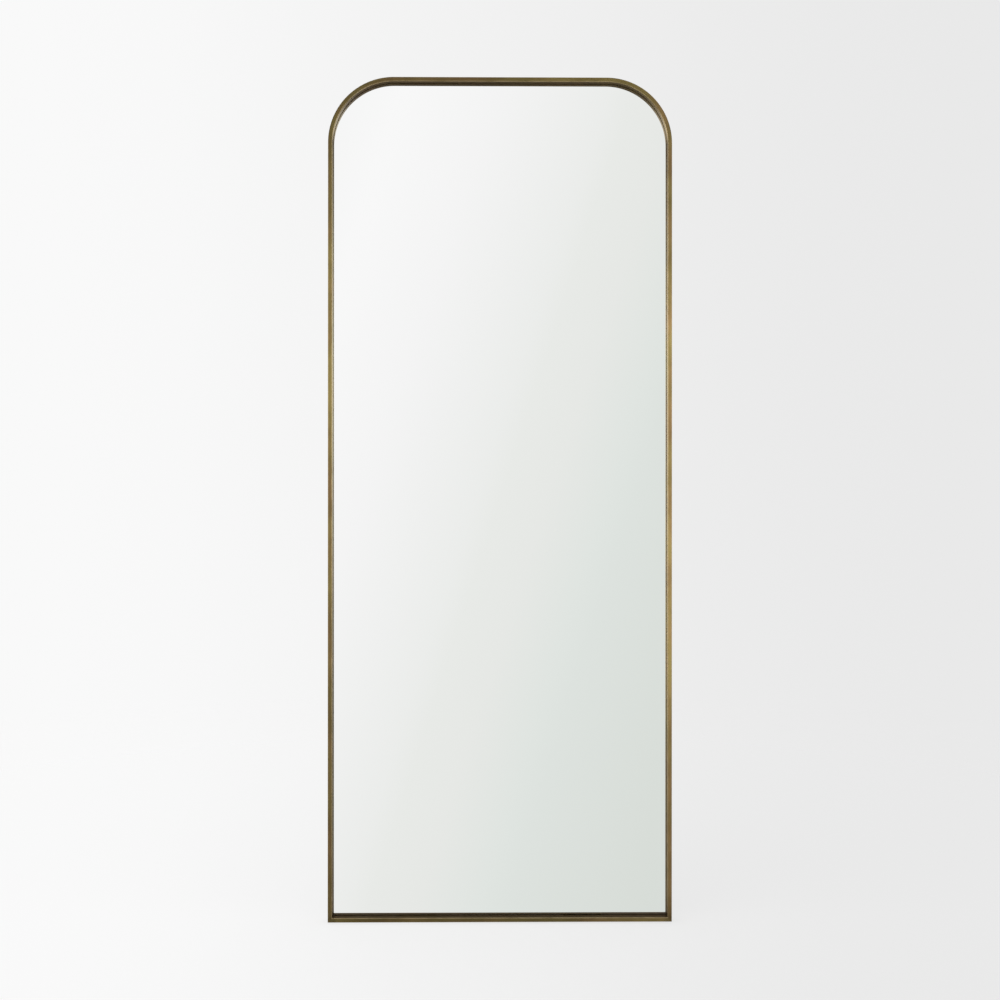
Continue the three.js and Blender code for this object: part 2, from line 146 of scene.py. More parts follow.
# Camera: a little left of the frame's middle and turned to it, not tilted, and rolled a hair to the left
CAMERA_DISTANCE = 3.17  # from the frame's front
PICTURE_WIDTH = 2.1642  # at the frame's front
SENSOR_WIDTH = 36.0  # millimetres, as the lens is given
PIXELS = 1000
FRAME_ABOVE_MIDDLE = 0.34  # pixels from the picture's middle up to the frame's
CAMERA_LEFT = 0.035
AIM_LEFT = 0.0003
CAMERA_ROLL = 0.0004
CAMERA_RAISE = 0.05  # above the picture's middle, to which the lens is shifted
CAMERA_HEIGHT = (BASE + TOP) / 2 - FRAME_ABOVE_MIDDLE * PICTURE_WIDTH / PIXELS + CAMERA_RAISE
CAMERA_PLACE = (-CAMERA_LEFT, FRONT - CAMERA_DISTANCE, CAMERA_HEIGHT)
CAMERA_TURN = math.atan((CAMERA_LEFT - AIM_LEFT) / CAMERA_DISTANCE)
LOOKS_RIGHT = math.sin(CAMERA_TURN)
LOOKS_DOWN = CAMERA_RAISE / CAMERA_DISTANCE

# Lamp and floor
LAMP_DIRECTION = (-0.5, -0.8, 1.4)
LAMP_STRENGTH = 0.5
LAMP_SPREAD = math.radians(60)
FLOOR_RADIUS = 6.0
FADE_START = 1.6  # distance from the origin where the floor begins to turn clear
FADE_END = 3.4
FLOOR_LIT = 0.18  # share of what the camera sees of the floor that takes shadows


# Shader helpers


def add(tree, kind, inputs=None, **settings):
    """A new node, with its settings made and its inputs given values or linked to sockets."""
    node = tree.nodes.new(kind)
    for name, value in settings.items():
        setattr(node, name, value)
    for key, value in (inputs or {}).items():
        if isinstance(value, bpy.types.NodeSocket):
            tree.links.new(value, node.inputs[key])
        else:
            node.inputs[key].default_value = value
    return node


def calc(tree, operation, *values):
    """The result of a Math node."""
    return add(tree, "ShaderNodeMath", dict(enumerate(values)), operation=operation).outputs[0]


def vector_calc(tree, operation, *values):
    """The result of a Vector Math node: a number for a length or a distance, and else a vector."""
    node = add(tree, "ShaderNodeVectorMath", dict(enumerate(values)), operation=operation)
    return node.outputs["Value" if operation in ("LENGTH", "DISTANCE") else "Vector"]


def scaled(tree, colour, factor):
    """colour times a number."""
    return add(tree, "ShaderNodeVectorMath", {0: colour, "Scale": factor}, operation="SCALE").outputs[0]


def mapped(tree, value, low, high, to_low=0.0, to_high=1.0):
    """value brought from low..high to to_low..to_high, clamped, with a smooth step."""
    sockets = {0: value, 1: low, 2: high, 3: to_low, 4: to_high}
    return add(tree, "ShaderNodeMapRange", sockets, interpolation_type="SMOOTHSTEP").outputs[0]


def graded(tree, value, reach, stops):
    """A colour ramp over value from -reach to reach, through stops of (value, grey or colour)."""
    sockets = {0: value, 1: -reach, 2: reach, 3: 0.0, 4: 1.0}
    share = add(tree, "ShaderNodeMapRange", sockets).outputs[0]
    node = add(tree, "ShaderNodeValToRGB", {"Fac": share})
    elements = node.color_ramp.elements
    while len(elements) < len(stops):
        elements.new(0.5)
    for element, (place, colour) in zip(elements, stops):
        element.position = (place + reach) / (2 * reach)
        element.color = (*colour, 1) if isinstance(colour, tuple) else (colour, colour, colour, 1)
    return node.outputs["Color"]


def mixed(tree, share, first, second):
    """first where share is 0 and second where it is 1."""
    node = add(tree, "ShaderNodeMix", data_type="RGBA")
    for socket, value in zip((node.inputs[0], node.inputs[6], node.inputs[7]), (share, first, second)):
        if isinstance(value, bpy.types.NodeSocket):
            tree.links.new(value, socket)
        elif isinstance(value, tuple):
            socket.default_value = (*value, 1)
        else:
            socket.default_value = value
    return node.outputs[2]


def mixed_shaders(tree, share, first, second):
    """The same for two shaders."""
    return add(tree, "ShaderNodeMixShader", {0: share, 1: first, 2: second}).outputs[0]


def linear(red, green, blue):
    """A display colour of 0 to 255 as scene light."""

    def level(value):
        share = value / 255
        return share / 12.92 if share <= 0.04045 else ((share + 0.055) / 1.055) ** 2.4

    return level(red), level(green), level(blue)


# World


def backdrop_colour(tree, x):
    """What the camera sees: pale, a little darker to the right."""
    levels = (
        (-0.2856, 249), (-0.2127, 248), (-0.1337, 245.5), (0.0, 241), (0.1337, 236), (0.2127, 234),
        (0.2856, 233),
    )
    stops = [(place, linear(level, level, level)) for place, level in levels]
    return graded(tree, calc(tree, "SUBTRACT", x, LOOKS_RIGHT), 0.3, stops)


def room_in_glass(tree, x, z):
    """What the glass shows: a pale room that darkens to the right and downwards."""
    rightward, downward = 0.95, 0.31  # how much each way counts
    across = calc(tree, "MULTIPLY", calc(tree, "SUBTRACT", x, LOOKS_RIGHT), rightward)
    down = calc(tree, "MULTIPLY", calc(tree, "ADD", z, LOOKS_DOWN), -downward)
    seen = (
        (-0.6, (222, 224, 222)),
        (-0.25, (240, 241, 240)),
        (-0.146, (248, 248, 248)),
        (-0.089, (244, 244, 244)),
        (-0.015, (235, 236.5, 234.5)),
        (0.0, (232, 234, 231)),
        (0.031, (230, 232, 229)),
        (0.074, (223, 228, 224)),
        (0.0875, (221, 226, 222)),
        (0.162, (216, 221, 216)),
        (0.6, (196, 202, 199)),
    )
    stops = [(place, linear(*colour)) for place, colour in seen]
    colour = graded(tree, calc(tree, "ADD", across, down), 1.0, stops)
    return vector_calc(tree, "DIVIDE", colour, SILVER_TINT)


def studio(tree, x, y, z):
    """What brushed metal gathers: a bright band and a round lamp in front, and a plain room behind."""
    by_height = (
        (-1.0, 0.5), (-0.6, 0.25), (-0.3, 0.14), (-0.2, 0.26), (-0.08, 0.48), (0.02, 0.9), (0.09, 1.0),
        (0.16, 0.55), (0.24, 0.12), (0.5, 0.05), (0.8, 0.08), (1.0, 0.15),
    )
    by_side = (
        (-1.0, 0.68), (-0.6, 0.92), (-0.3, 0.35), (-0.15, 0.42), (0.0, 0.45), (0.15, 0.5), (0.3, 0.75),
        (0.6, 0.75), (1.0, 0.4),
    )
    behind = (
        (-1.0, 0.5), (-0.5, 0.35), (-0.2, 0.45), (0.0, 0.8), (0.2, 0.85), (0.4, 0.5), (0.6, 0.25),
        (0.8, 0.35), (1.0, 0.7),
    )
    gain = 3.2
    lamp_direction = (0.6, -0.2, 0.75)
    lamp_edge, lamp_core = 0.55, 0.25
    lamp_light = (1.4, 1.4, 1.4)
    front = vector_calc(tree, "MULTIPLY", graded(tree, z, 1.0, by_height), graded(tree, x, 1.0, by_side))
    front = scaled(tree, front, gain)
    direction = add(tree, "ShaderNodeCombineXYZ", {0: x, 1: y, 2: z}).outputs[0]
    off_lamp = vector_calc(tree, "DISTANCE", direction, lamp_direction)
    front = mixed(tree, mapped(tree, off_lamp, lamp_edge, lamp_core), front, lamp_light)
    return mixed(tree, mapped(tree, y, 0.0, 0.5), front, graded(tree, z, 1.0, behind))


def build_world():
    """A backdrop for the camera, a room for the glass, a studio for metal and plain light for the rest."""
    world = bpy.data.worlds.new("studio")
    bpy.context.scene.world = world
    world.use_nodes = True
    tree = world.node_tree
    tree.nodes.clear()
    direction = add(tree, "ShaderNodeTexCoord").outputs["Generated"]
    x, y, z = add(tree, "ShaderNodeSeparateXYZ", {0: direction}).outputs
    path = add(tree, "ShaderNodeLightPath").outputs
    # Out here Ray Depth is one more than the ray's bounces, so this is one bounce at most
    one_bounce = calc(tree, "LESS_THAN", path["Ray Depth"], 2.5)
    in_glass = calc(tree, "MULTIPLY", path["Is Singular Ray"], one_bounce)
    undiffused = calc(tree, "LESS_THAN", path["Diffuse Depth"], 0.5)
    on_metal = calc(tree, "MULTIPLY", path["Is Glossy Ray"], undiffused)
    plain = (0.9, 0.9, 0.9)
    light = mixed(tree, on_metal, plain, studio(tree, x, y, z))
    light = mixed(tree, in_glass, light, room_in_glass(tree, x, z))
    light = mixed(tree, path["Is Camera Ray"], light, backdrop_colour(tree, x))
    background = add(tree, "ShaderNodeBackground", {"Color": light, "Strength": 1.0})
    output = add(tree, "ShaderNodeOutputWorld")
    tree.links.new(background.outputs[0], output.inputs[0])


# Materials


def principled(name, **inputs):
    """A material with its tree and its Principled shader, which has plain values set on its sockets."""
    material = bpy.data.materials.new(name)
    material.use_nodes = True
    tree = material.node_tree
    shader = tree.nodes["Principled BSDF"]
    for key, value in inputs.items():
        shader.inputs[key].default_value = value
    return material, tree, shader


def surface(tree, shader, colour, roughness, height, strength, depth):
    """Gives a shader its colour, its roughness and a bump."""
    bump = add(tree, "ShaderNodeBump", {"Height": height, "Strength": strength, "Distance": depth})
    tree.links.new(colour, shader.inputs["Base Color"])
    tree.links.new(roughness, shader.inputs["Roughness"])
    tree.links.new(bump.outputs[0], shader.inputs["Normal"])


def stretched_noise(tree, vector, scale, detail=3.0, roughness=0.5):
    """Noise with its own scale along each axis of vector."""
    stretched = vector_calc(tree, "MULTIPLY", vector, scale)
    sockets = {"Vector": stretched, "Scale": 1.0, "Detail": detail, "Roughness": roughness}
    return add(tree, "ShaderNodeTexNoise", sockets).outputs["Fac"]


def object_place(tree):
    """A point's place in its object."""
    return add(tree, "ShaderNodeTexCoord").outputs["Object"]


def attribute(tree, name, output="Fac"):
    """What a mesh holds under a name: a number, or a vector where output is Vector."""
    return add(tree, "ShaderNodeAttribute", attribute_name=name).outputs[output]


def patinated(tree, run, blotch, streak):
    """Brass that is browned or golden in clouds, olive or ruddy, with brighter lines from the brush."""
    olive_brown, red_brown = (0.17, 0.133, 0.047), (0.18, 0.114, 0.05)
    olive_gold, red_gold = (0.25, 0.196, 0.069), (0.27, 0.171, 0.075)
    bright_line = (0.33, 0.237, 0.095)
    slow = stretched_noise(tree, run, (5.0, 6.0, 1.0), 2.0)
    cloud = calc(tree, "MULTIPLY_ADD", slow, 0.6, calc(tree, "MULTIPLY", blotch, 0.4))
    hue = stretched_noise(tree, run, (9.0, 40.0, 1.0), 3.0)
    hue = calc(tree, "MULTIPLY_ADD", attribute(tree, "ruddier"), 0.15, hue)
    ruddy = mapped(tree, hue, 0.35, 0.65)
    browned = mixed(tree, ruddy, olive_brown, red_brown)
    golden = mixed(tree, ruddy, olive_gold, red_gold)
    tone = mixed(tree, mapped(tree, cloud, 0.4, 0.6), browned, golden)
    tone = mixed(tree, mapped(tree, streak, 0.35, 0.7, 0.0, 0.35), tone, bright_line)
    return scaled(tree, tone, calc(tree, "ADD", attribute(tree, "paler"), 1.0))


def worn(tree, tone, blotch, recess_shade):
    """A tone that is stained by welds, darkened with painted shade on the inner faces of the rails and
    bends, and paler on rubbed edges, which is partly a painted highlight.
    """
    weld_stain = (0.1, 0.085, 0.045)
    # A brown for painted shade on the inner faces of the rails and bends
    shade_brown = (0.095, 0.06, 0.02)
    # A paler brass for rubbed edges, partly a painted highlight
    rubbed_edge_highlight = (0.5, 0.39, 0.22)
    stained = calc(tree, "MULTIPLY", attribute(tree, "weld"), mapped(tree, blotch, 0.3, 0.7, 0.25, 0.6))
    tone = mixed(tree, stained, tone, weld_stain)
    # Painted shade: the inner faces of the rails and bends are darkened towards brown
    tone = mixed(tree, calc(tree, "MULTIPLY", recess_shade, 0.7), tone, shade_brown)
    # Rubbed edges are made paler, partly wear and partly a painted highlight
    edge_highlight_share = calc(tree, "MULTIPLY", attribute(tree, "arris"), mapped(tree, blotch, 0.3, 0.6, 0.3, 0.75))
    return mixed(tree, edge_highlight_share, tone, rubbed_edge_highlight)


def aged_brass():
    """Brass, brushed along the tube, browned and olive in places, paler where it is rubbed, which is partly
    a painted highlight, and with painted shade on the inner faces of the rails.
    """
    # A white sheen, and a browner one for painted shade on the rails' inner faces
    unshaded_sheen, shaded_sheen = (1.0, 1.0, 1.0), (0.85, 0.76, 0.73)
    material, tree, shader = principled("aged_brass", Metallic=1.0, Anisotropic=0.75)
    run = attribute(tree, "run", "Vector")
    blotch = stretched_noise(tree, run, (22.0, 60.0, 1.0), 4.0, 0.6)
    streak = stretched_noise(tree, run, (20.0, 1800.0, 1.0), 2.0)
    # How much painted shade each point of the tube takes
    recess_shade = attribute(tree, "recess_shade")
    tone = worn(tree, patinated(tree, run, blotch, streak), blotch, recess_shade)
    surface(tree, shader, tone, mapped(tree, streak, 0.3, 0.75, 0.28, 0.38), streak, 0.25, 0.00005)
    # The same inner faces take the browner sheen, also painted shade
    tree.links.new(mixed(tree, recess_shade, unshaded_sheen, shaded_sheen), shader.inputs["Specular Tint"])
    tree.links.new(attribute(tree, "across", "Vector"), shader.inputs["Tangent"])
    return material


def mirror_silver():
    """Silvered glass: a sharp, faintly green mirror, with a tint that varies very little over it."""
    spread = 0.003
    material, tree, shader = principled("mirror_silver", Metallic=1.0, Roughness=0.0)
    cloud = stretched_noise(tree, object_place(tree), (3.0, 3.0, 3.0), 1.0)
    darker = tuple((1 - spread) * level for level in SILVER_TINT)
    paler = tuple((1 + spread) * level for level in SILVER_TINT)
    tree.links.new(mixed(tree, cloud, darker, paler), shader.inputs["Base Color"])
    return material


def painted_board():
    """Black paint rolled on a fibre board, with a little dust and a few faint scuffs."""
    material, tree, shader = principled("painted_board")
    place = object_place(tree)
    rolled = stretched_noise(tree, place, (700.0, 700.0, 420.0), 3.0, 0.6)
    dust = stretched_noise(tree, place, (7.0, 7.0, 4.0), 5.0, 0.65)
    scuff = stretched_noise(tree, place, (120.0, 120.0, 6.0), 3.0, 0.7)
    tone = mixed(tree, mapped(tree, rolled, 0.3, 0.7), (0.0105, 0.0105, 0.01), (0.016, 0.016, 0.0155))
    tone = mixed(tree, mapped(tree, dust, 0.42, 0.75, 0.0, 0.5), tone, (0.045, 0.043, 0.04))
    tone = mixed(tree, mapped(tree, scuff, 0.66, 0.8, 0.0, 0.35), tone, (0.06, 0.058, 0.055))
    surface(tree, shader, tone, mapped(tree, dust, 0.35, 0.7, 0.42, 0.7), rolled, 0.5, 0.0003)
    return material


def bright_zinc():
    """Zinc-plated steel: smooth and slightly blue, with faint haze and fine rub marks."""
    material, tree, shader = principled("bright_zinc", Metallic=1.0)
    place = object_place(tree)
    haze = stretched_noise(tree, place, (90.0, 90.0, 90.0), 3.0)
    rubs = stretched_noise(tree, place, (3000.0, 900.0, 250.0), 3.0, 0.6)
    tone = mixed(tree, mapped(tree, haze, 0.35, 0.65), (0.5, 0.515, 0.53), (0.6, 0.6, 0.585))
    tone = mixed(tree, mapped(tree, rubs, 0.55, 0.8, 0.0, 0.4), tone, (0.36, 0.37, 0.38))
    surface(tree, shader, tone, mapped(tree, rubs, 0.3, 0.75, 0.2, 0.34), rubs, 0.2, 0.00003)
    return material


def plain_surface(name, dark, light, scale, roughness, metallic=0.0):
    """A surface with fine mottling and bump, for the small pieces."""
    material, tree, shader = principled(name, Metallic=metallic)
    mottle = stretched_noise(tree, object_place(tree), (scale, scale, scale), 4.0)
    tone = mixed(tree, mapped(tree, mottle, 0.3, 0.7), dark, light)
    surface(tree, shader, tone, mapped(tree, mottle, 0.3, 0.7, *roughness), mottle, 0.3, 0.0001)
    return material


# Meshes: each is a list of points and a list of faces, which turn outward


def joined(*meshes):
    """Several meshes as one."""
    points, faces = [], []
    for more_points, more_faces in meshes:
        start = len(points)
        points += more_points
        faces += [tuple(start + index for index in face) for face in more_faces]
    return points, faces


def moved(mesh, place):
    """A mesh shifted by place."""
    points, faces = mesh
    return [(x + place[0], y + place[1], z + place[2]) for x, y, z in points], faces


def band(first, second, count):
    """The faces between two closed rings of count points that start at first and second.

    They turn outward where the rings run anticlockwise, seen from the side of the second.
    """
    pairs = [(i, (i + 1) % count) for i in range(count)]
    return [(first + i, first + j, second + j, second + i) for i, j in pairs]


def filled(points, rings, facing_back=False):
    """Triangles between a flat ring of point numbers and the clockwise rings in it, facing -Y or +Y."""
    numbers = [number for ring in rings for number in ring]
    flat = [[Vector((points[number][0], points[number][2], 0)) for number in ring] for ring in rings]
    triangles = [tuple(numbers[corner] for corner in triangle) for triangle in tessellate_polygon(flat)]
    return [triangle[::-1] for triangle in triangles] if facing_back else triangles


def brought_in(loop, distance):
    """A closed outline of (x, z) points moved to its left by distance."""
    inner = []
    for i, here in enumerate(loop):
        before = Vector(loop[i - 1])
        after = Vector(loop[(i + 1) % len(loop)])
        first = (Vector(here) - before).normalized()
        second = (after - Vector(here)).normalized()
        middle = (first + second).normalized()
        reach = distance / max(middle.dot(first), 0.5)
        inner.append((here[0] - middle.y * reach, here[1] + middle.x * reach))
    return inner


def plate(outline, front, back, arris, holes=()):
    """A sheet between two depths, with rounded edges. Outlines run anticlockwise and holes clockwise."""
    steps = 3
    angles = [step / steps * math.pi / 2 for step in range(steps + 1)]
    arc = [(arris * (1 - math.cos(angle)), arris * (1 - math.sin(angle))) for angle in angles]
    edge = [(inset, front + drop) for inset, drop in reversed(arc)]
    edge += [(inset, back - drop) for inset, drop in arc]
    points, faces = [], []
    front_rings, back_rings = [], []
    for loop in (outline, *holes):
        start = len(points)
        count = len(loop)
        for inset, y in edge:
            points += [(x, y, z) for x, z in brought_in(loop, inset)]
        for ring in range(len(edge) - 1):
            faces += band(start + (ring + 1) * count, start + ring * count, count)
        front_rings.append(range(start, start + count))
        back_rings.append(range(len(points) - count, len(points)))
    faces += filled(points, front_rings)
    faces += filled(points, back_rings, facing_back=True)
    return points, faces


def circle(radius, x=0.0, z=0.0, sides=32, turn=1):
    """Points (x, z) round a circle, anticlockwise where turn is 1 and clockwise where it is -1."""
    angles = [turn * 2 * math.pi * i / sides for i in range(sides)]
    return [(x + radius * math.cos(angle), z + radius * math.sin(angle)) for angle in angles]


def tongue(width, root, tip, corner, steps=8):
    """An outline (x, z) up from its root to a tip with round corners, anticlockwise from its right foot."""
    half = width / 2
    points = [(half, root)]
    for side, first in ((1, 0.0), (-1, math.pi / 2)):
        for step in range(steps + 1):
            angle = first + step / steps * math.pi / 2
            x = side * (half - corner) + corner * math.cos(angle)
            points.append((x, tip - corner + corner * math.sin(angle)))
    points.append((-half, root))
    return points


def turned_outline(outline, angle, x, z):
    """An outline turned anticlockwise by angle and set at a place."""
    cosine, sine = math.cos(angle), math.sin(angle)
    return [(x + u * cosine - v * sine, z + u * sine + v * cosine) for u, v in outline]


def turned(profile, sides=48):
    """A solid of revolution about +Y, from (radius, y) points that start and end on the axis."""
    points = [(0.0, profile[0][1], 0.0)]
    for radius, y in profile[1:-1]:
        points += [(x, y, z) for x, z in circle(radius, sides=sides)]
    points.append((0.0, profile[-1][1], 0.0))
    faces = [(0, 1 + i, 1 + (i + 1) % sides) for i in range(sides)]
    for ring in range(len(profile) - 3):
        faces += band(1 + (ring + 1) * sides, 1 + ring * sides, sides)
    last = len(points) - 1
    faces += [(last, last - sides + (i + 1) % sides, last - sides + i) for i in range(sides)]
    return points, faces


def wire(route, radii, sides=20):
    """Round wire along a route in a plane of fixed y, with a radius for each point and closed ends."""
    points = []
    for i, (here, radius) in enumerate(zip(route, radii)):
        before = Vector(route[max(i - 1, 0)])
        after = Vector(route[min(i + 1, len(route) - 1)])
        side = (after - before).normalized().cross(TO_BACK)
        for angle in (2 * math.pi * step / sides for step in range(sides)):
            away = side * math.cos(angle) + TO_BACK * math.sin(angle)
            points.append(tuple(Vector(here) + radius * away))
    faces = [tuple(range(sides)), tuple(reversed(range(len(points) - sides, len(points))))]
    for ring in range(len(route) - 1):
        faces += band((ring + 1) * sides, ring * sides, sides)
    return points, faces


def stand_in(node, mesh, material, body="mirror"):
    """A piece that is shown for a CAD node, rides on a body and takes the material it is given."""
    name = node + "_shown"
    points, faces = mesh
    data = bpy.data.meshes.new(name)
    data.from_pydata(points, [], faces)
    data.materials.append(material)
    data.shade_smooth()
    data.set_sharp_from_angle(angle=SHARP_ANGLE)
    piece = bpy.data.objects.new(name, data)
    bpy.context.scene.collection.objects.link(piece)
    piece.modifiers.new("even_normals", "WEIGHTED_NORMAL").keep_sharp = True
    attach(piece, body)
    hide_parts(node)
    return piece


def point_attribute(piece, name, values):
    """Writes a number or a vector for each point as a named attribute that materials read."""
    if isinstance(values[0], tuple):
        layer = piece.data.attributes.new(name, "FLOAT_VECTOR", "POINT")
        layer.data.foreach_set("vector", [number for value in values for number in value])
    else:
        layer = piece.data.attributes.new(name, "FLOAT", "POINT")
        layer.data.foreach_set("value", values)


# Frame


def tube_section():
    """The section's points as (inset from the outer face, y, edge sheen), from that face over the front.
    The edge sheen makes rubbed edges paler, partly as a painted highlight.
    """
    steps = 5
    # Edge sheen: rubbed edges are paler, partly as a painted highlight; it fades out past each edge
    fade = 0.0008  # past an edge, to where its polish ends
    middle = (BAR_FACE / 2, (FRONT + BACK) / 2)
    reach = (BAR_FACE / 2 - TUBE_ARRIS, (BACK - FRONT) / 2 - TUBE_ARRIS)
    # Inner edges take all of the edge sheen, a painted highlight on rubbed brass, and outer ones a share of
    # it
    corners = ((-1, -1, OUTER_EDGE_SHEEN), (1, -1, 1.0), (1, 1, 1.0), (-1, 1, OUTER_EDGE_SHEEN))
    points = []
    for turn, (inward, backward, edge_sheen) in enumerate(corners):
        centre = (middle[0] + inward * reach[0], middle[1] + backward * reach[1])
        for step in range(-1, steps + 2):
            angle = (turn + min(max(step, 0), steps) / steps) * math.pi / 2
            past = fade if step > steps else -fade if step < 0 else 0.0
            inset = centre[0] - TUBE_ARRIS * math.cos(angle) + past * math.sin(angle)
            y = centre[1] - TUBE_ARRIS * math.sin(angle) - past * math.cos(angle)
            points.append((inset, y, 0.0 if past else edge_sheen))
    return points


def hoop_stations():
    """Stations (x, z, inward x, inward z) on the hoop's outer face, from the left foot to the right one."""
    bend_steps = 48
    stile_steps = 24
    centre_x = HALF_WIDTH - BEND_RADIUS
    bend_start = TOP - BEND_RADIUS
    low = BASE + WELD_REACH
    rises = [BASE + BAR_FACE + PAST_MITRE]
    rises += [low + (bend_start - low) * step / stile_steps for step in range(stile_steps)]
    stations = [(-HALF_WIDTH, BASE, 1, 1)]
    stations += [(-HALF_WIDTH, z, 1, 0) for z in rises]
    for side, first in ((-1, math.pi), (1, math.pi / 2)):
        for step in range(bend_steps + 1):
            angle = first - step / bend_steps * math.pi / 2
            x = side * centre_x + BEND_RADIUS * math.cos(angle)
            z = bend_start + BEND_RADIUS * math.sin(angle)
            stations.append((x, z, -math.cos(angle), -math.sin(angle)))
    stations += [(HALF_WIDTH, z, -1, 0) for z in reversed(rises)]
    stations.append((HALF_WIDTH, BASE, -1, 1))
    return stations


def rail_stations():
    """The same on the bottom rail, from its right end to its left one."""
    steps = 8
    near = HALF_WIDTH - BAR_FACE - PAST_MITRE
    reach = HALF_WIDTH - WELD_REACH
    spread = [near, *(reach - 2 * reach * step / steps for step in range(steps + 1)), -near]
    return [(HALF_WIDTH, BASE, -1, 1), *((x, BASE, 0, 1) for x in spread), (-HALF_WIDTH, BASE, 1, 1)]


def patina_at(run, patina):
    """How much paler and how much ruddier the brass is at a distance along its tube."""
    shares = [math.exp(-(((run - place) / reach) ** 2)) for place, reach, _, _ in patina]
    paler = sum(share * spot[2] for share, spot in zip(shares, patina))
    ruddier = sum(share * spot[3] for share, spot in zip(shares, patina))
    return paler, ruddier


def painted_shade_inside(inward_x, inward_z):
    """How much painted shade the inner face gets: all on both rails, less round the bends, none on the
    stiles.
    """
    on_bottom_rail = inward_x == 0 < inward_z
    return 1.0 if on_bottom_rail else max(-inward_z, 0.0)


def swept_tube(stations, patina):
    """The tube's mesh, and what the brass reads at each of its points."""
    section = tube_section()
    count = len(section)
    girths = [0.0]
    for before, here in zip(section, section[1:]):
        girths.append(girths[-1] + math.dist(here[:2], before[:2]))
    points, facts = [], []
    run = 0.0
    for index, (x, z, inward_x, inward_z) in enumerate(stations):
        before, after = stations[max(index - 1, 0)], stations[min(index + 1, len(stations) - 1)]
        run += math.dist((x, z), before[:2])
        along = Vector((after[0] - before[0], 0, after[1] - before[1])).normalized()
        paler, ruddier = patina_at(run, patina)
        stained = math.dist((abs(x), z), (HALF_WIDTH, BASE)) < WELD_STAIN
        for girth, (inset, y, edge_sheen) in zip(girths, section):
            points.append((x + inset * inward_x, y, z + inset * inward_z))
            on_side = TUBE_ARRIS < y - FRONT < BACK - FRONT - TUBE_ARRIS
            inside = on_side and inset > BAR_FACE / 2
            fact = {
                "run": (run, girth, 0.0),
                "across": tuple(TO_BACK if on_side else along.cross(TO_BACK)),
                # Paler rubbed edges, partly a painted highlight
                "arris": edge_sheen,
                "weld": 1.0 if stained else 0.0,
                "paler": paler,
                "ruddier": ruddier,
                # Painted shade on the inner faces of the rails and bends
                "recess_shade": painted_shade_inside(inward_x, inward_z) if inside else 0.0,
            }
            facts.append(fact)
    faces = [tuple(reversed(range(count))), tuple(range(len(points) - count, len(points)))]
    for ring in range(len(stations) - 1):
        faces += band(ring * count, (ring + 1) * count, count)
    return (points, faces), facts


def build_tube(node, stations, patina, material):
    """A length of the frame, with what the brass reads written on its points."""
    mesh, facts = swept_tube(stations, patina)
    piece = stand_in(node, mesh, material)
    for name in facts[0]:
        point_attribute(piece, name, [fact[name] for fact in facts])


# Glass and board


def build_arched(node, arris, material):
    """A sheet that fills the frame's opening, between the depths of its CAD node."""
    low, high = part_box(node)
    inset = HALF_WIDTH - high.x
    outline = tongue(2 * high.x, low.z, TOP - inset, BEND_RADIUS - inset, steps=48)
    stand_in(node, plate(outline, low.y, high.y, arris), material)


# Tabs and screws


def weld_bead(start, end, seed):
    """A run of weld between two points: overlapping ripples, thinner at its ends."""
    steps = 44
    ripples = 9
    plain, ripple_height, lump_height = 0.82, 0.12, 0.15
    thinnest = 0.05
    taper = 1 / 6  # of the length, at each end
    route, radii = [], []
    for step in range(steps + 1):
        share = step / steps
        ends = min(1.0, share / taper, (1 - share) / taper) ** 0.5
        ripple = ripple_height * abs(math.sin(share * ripples * math.pi))
        lump = lump_height * noise.noise(Vector((ripples * share, seed, 0)))
        route.append(Vector(start).lerp(Vector(end), share))
        radii.append(TAB_WELD_RADIUS * max((plain + ripple + lump) * ends, thinnest))
    return wire(route, radii, sides=14)


def build_tab(label, screw_place, seed, material):
    """A brass tongue on the frame's inside, welded along its root, with a hole for its screw."""
    node = "tab_" + label
    low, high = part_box(node)
    middle = (low + high) / 2
    size = high - low
    if size.x < size.z:
        on_right = middle.x > 0
        angle = math.pi / 2 if on_right else -math.pi / 2
        root = (high.x if on_right else low.x, middle.z)
        width, length = size.z, size.x
    else:
        at_bottom = middle.z < TOP / 2
        angle = 0.0 if at_bottom else math.pi
        root = (middle.x, low.z if at_bottom else high.z)
        width, length = size.x, size.z
    outline = turned_outline(tongue(width, 0.0, length, TAB_CORNER), angle, *root)
    hole = circle(SCREW_HOLE_RADIUS, screw_place.x, screw_place.z, turn=-1)
    sheet = plate(outline, low.y, high.y, SHEET_ARRIS, [hole])
    reach = width / 2 - TAB_WELD_INSET
    start, end = turned_outline([(-reach, 0.0), (reach, 0.0)], angle, *root)
    bead = weld_bead((start[0], high.y, start[1]), (end[0], high.y, end[1]), seed)
    stand_in(node, joined(sheet, bead), material)


def dome(radius):
    """Height of a screw head's top at a distance from its axis."""
    fullness = 0.6
    return HEAD_RIM + (HEAD_HEIGHT - HEAD_RIM) * (1 - (radius / HEAD_RADIUS) ** 2) ** fullness


